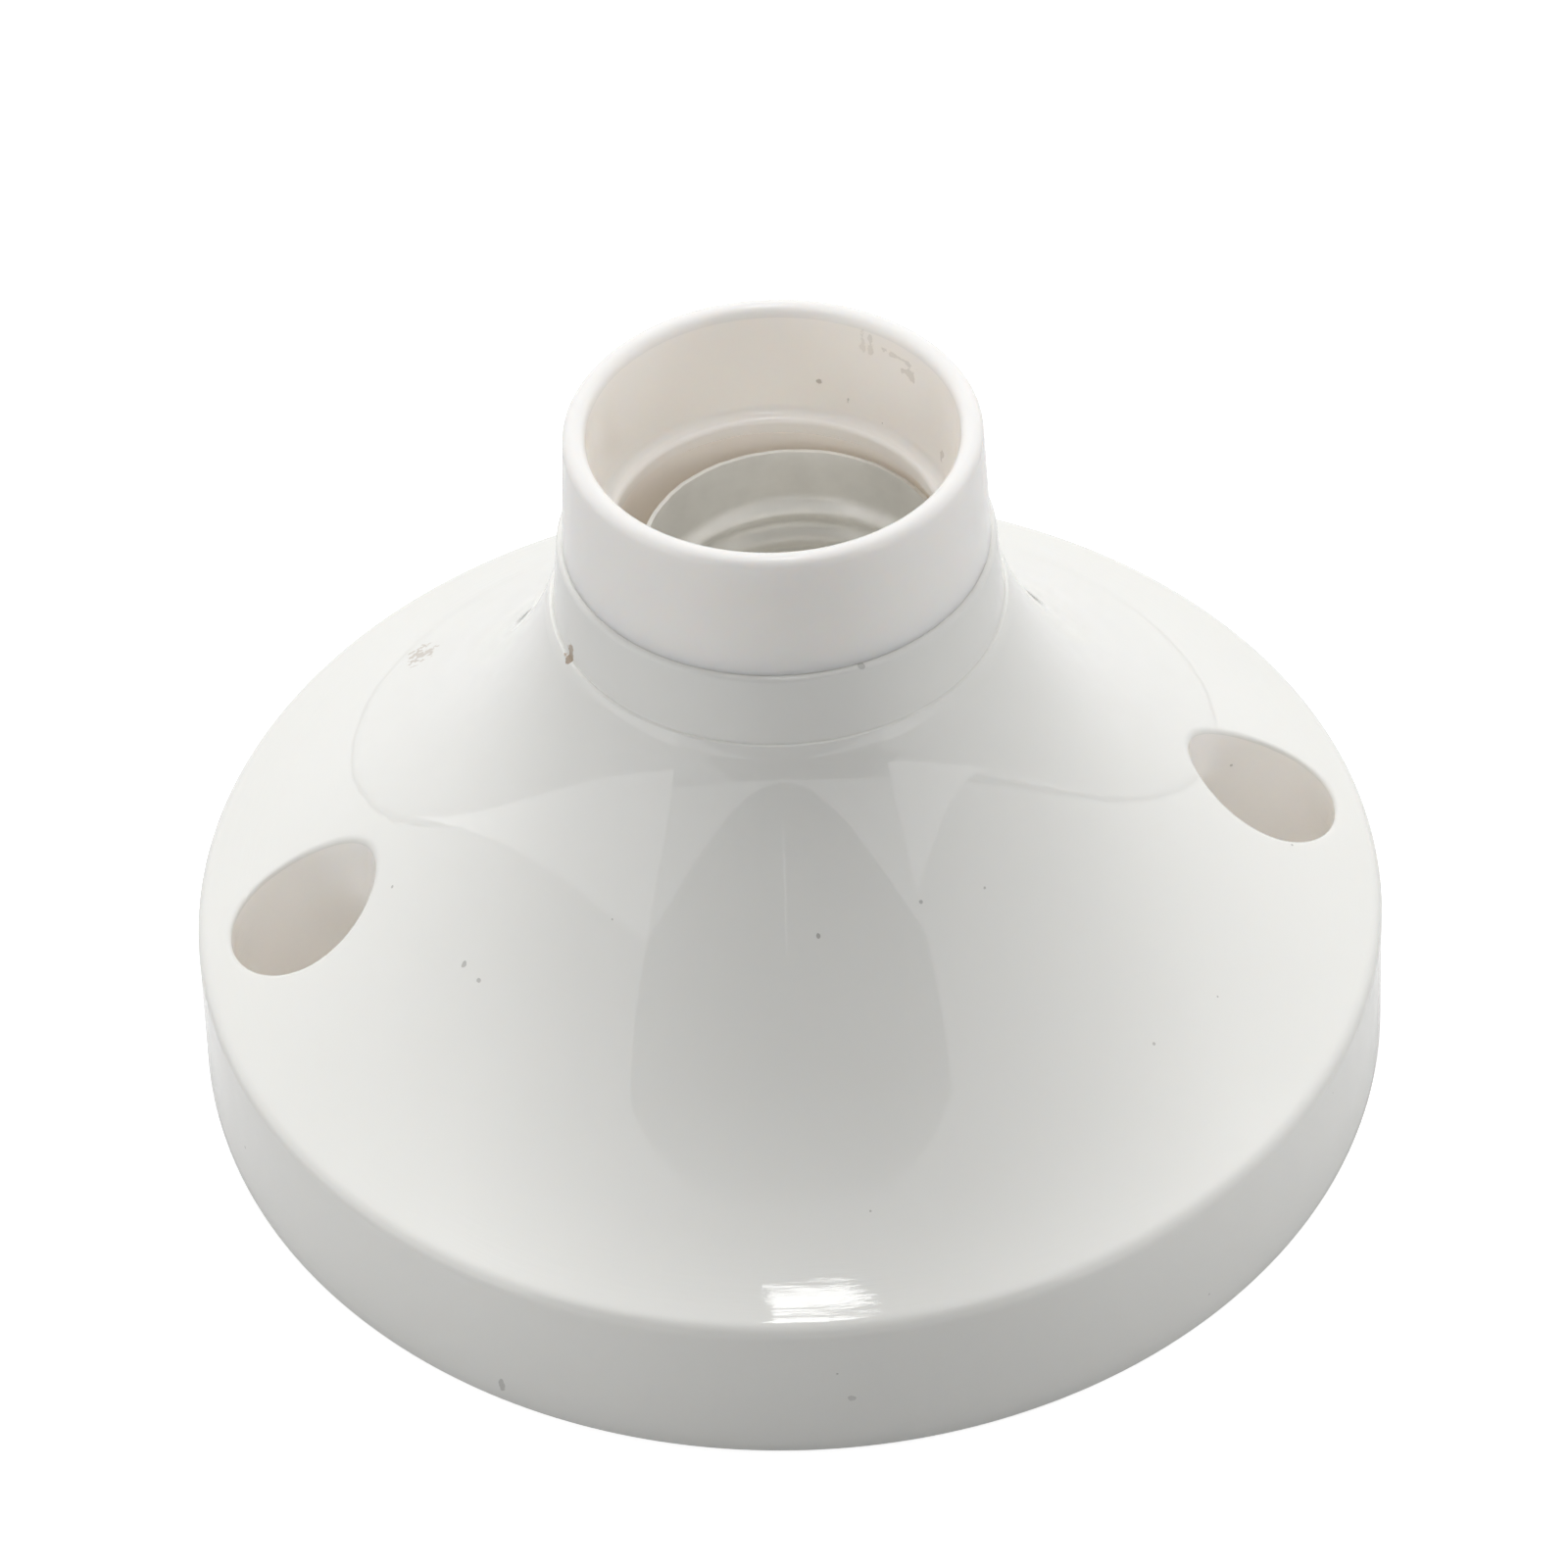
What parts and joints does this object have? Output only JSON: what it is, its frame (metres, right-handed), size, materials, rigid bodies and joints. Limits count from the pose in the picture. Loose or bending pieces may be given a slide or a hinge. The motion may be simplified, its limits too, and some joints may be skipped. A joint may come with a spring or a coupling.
{
  "type": "batten lamp holder",
  "caption": "Round flared batten lamp holder for a ceiling or wall, with a barrel, a rolled screw shell, a sprung centre contact and deep screw wells.",
  "frame": {"origin": "centre of the open base, on the plane of the skirt's foot", "axes": "+Z along the lamp's axis, out of the mouth; X through the two screw wells"},
  "size_m": [0.1152, 0.1152, 0.0716],
  "materials": {
    "cover_plastic": "glossy neutral white moulded plastic",
    "barrel_plastic": "glossy warm white moulded plastic, a little translucent",
    "shell_aluminium": "rolled aluminium sheet with fine scratches",
    "core_plastic": "satin off-white insulating plastic",
    "spring_bronze": "satin spring bronze",
    "contact_brass": "pressed brass, slightly dulled",
    "plated_steel": "zinc-plated steel"
  },
  "bodies": {
    "holder": {"cover": "cover_plastic", "barrel": "barrel_plastic", "screw_shell": "shell_aluminium", "lamp_core": "core_plastic", "centre_rivet": "contact_brass", "shell_rivet_front": "contact_brass", "shell_rivet_back": "contact_brass", "live_terminal": "contact_brass", "neutral_terminal": "contact_brass", "core_screw_front": "plated_steel", "core_screw_back": "plated_steel"},
    "contact_strip": {"centre_contact": "spring_bronze"},
    "live_clamp": {"live_washer": "plated_steel"},
    "live_terminal_screw": {"live_screw": "plated_steel"},
    "neutral_clamp": {"neutral_washer": "plated_steel"},
    "neutral_terminal_screw": {"neutral_screw": "plated_steel"}
  },
  "joints": [
    {"name": "contact_press", "type": "hinge", "parent": "holder", "child": "contact_strip", "pos_m": [-0.00425, 0, 0.034], "axis": [0, 1, 0], "range_deg": [0, 12], "stiffness_Nm_per_rad": 0.1, "springref_deg": -5.73},
    {"name": "live_clamp_slide", "type": "slide", "parent": "holder", "child": "live_clamp", "axis": [0, 0, -1], "range_m": [0, 0.0028]},
    {"name": "live_screw_turn", "type": "hinge", "parent": "live_clamp", "child": "live_terminal_screw", "pos_m": [-0.012, 0, 0.025], "axis": [0, 0, -1], "range_deg": [0, 1440]},
    {"name": "neutral_clamp_slide", "type": "slide", "parent": "holder", "child": "neutral_clamp", "axis": [0, 0, -1], "range_m": [0, 0.0028]},
    {"name": "neutral_screw_turn", "type": "hinge", "parent": "neutral_clamp", "child": "neutral_terminal_screw", "pos_m": [0.012, 0, 0.025], "axis": [0, 0, -1], "range_deg": [0, 1440]}
  ],
  "couplings": [
    {"joint": "live_screw_turn", "follows": "live_clamp_slide", "rad_per_m": 8976},
    {"joint": "neutral_screw_turn", "follows": "neutral_clamp_slide", "rad_per_m": 8976}
  ]
}
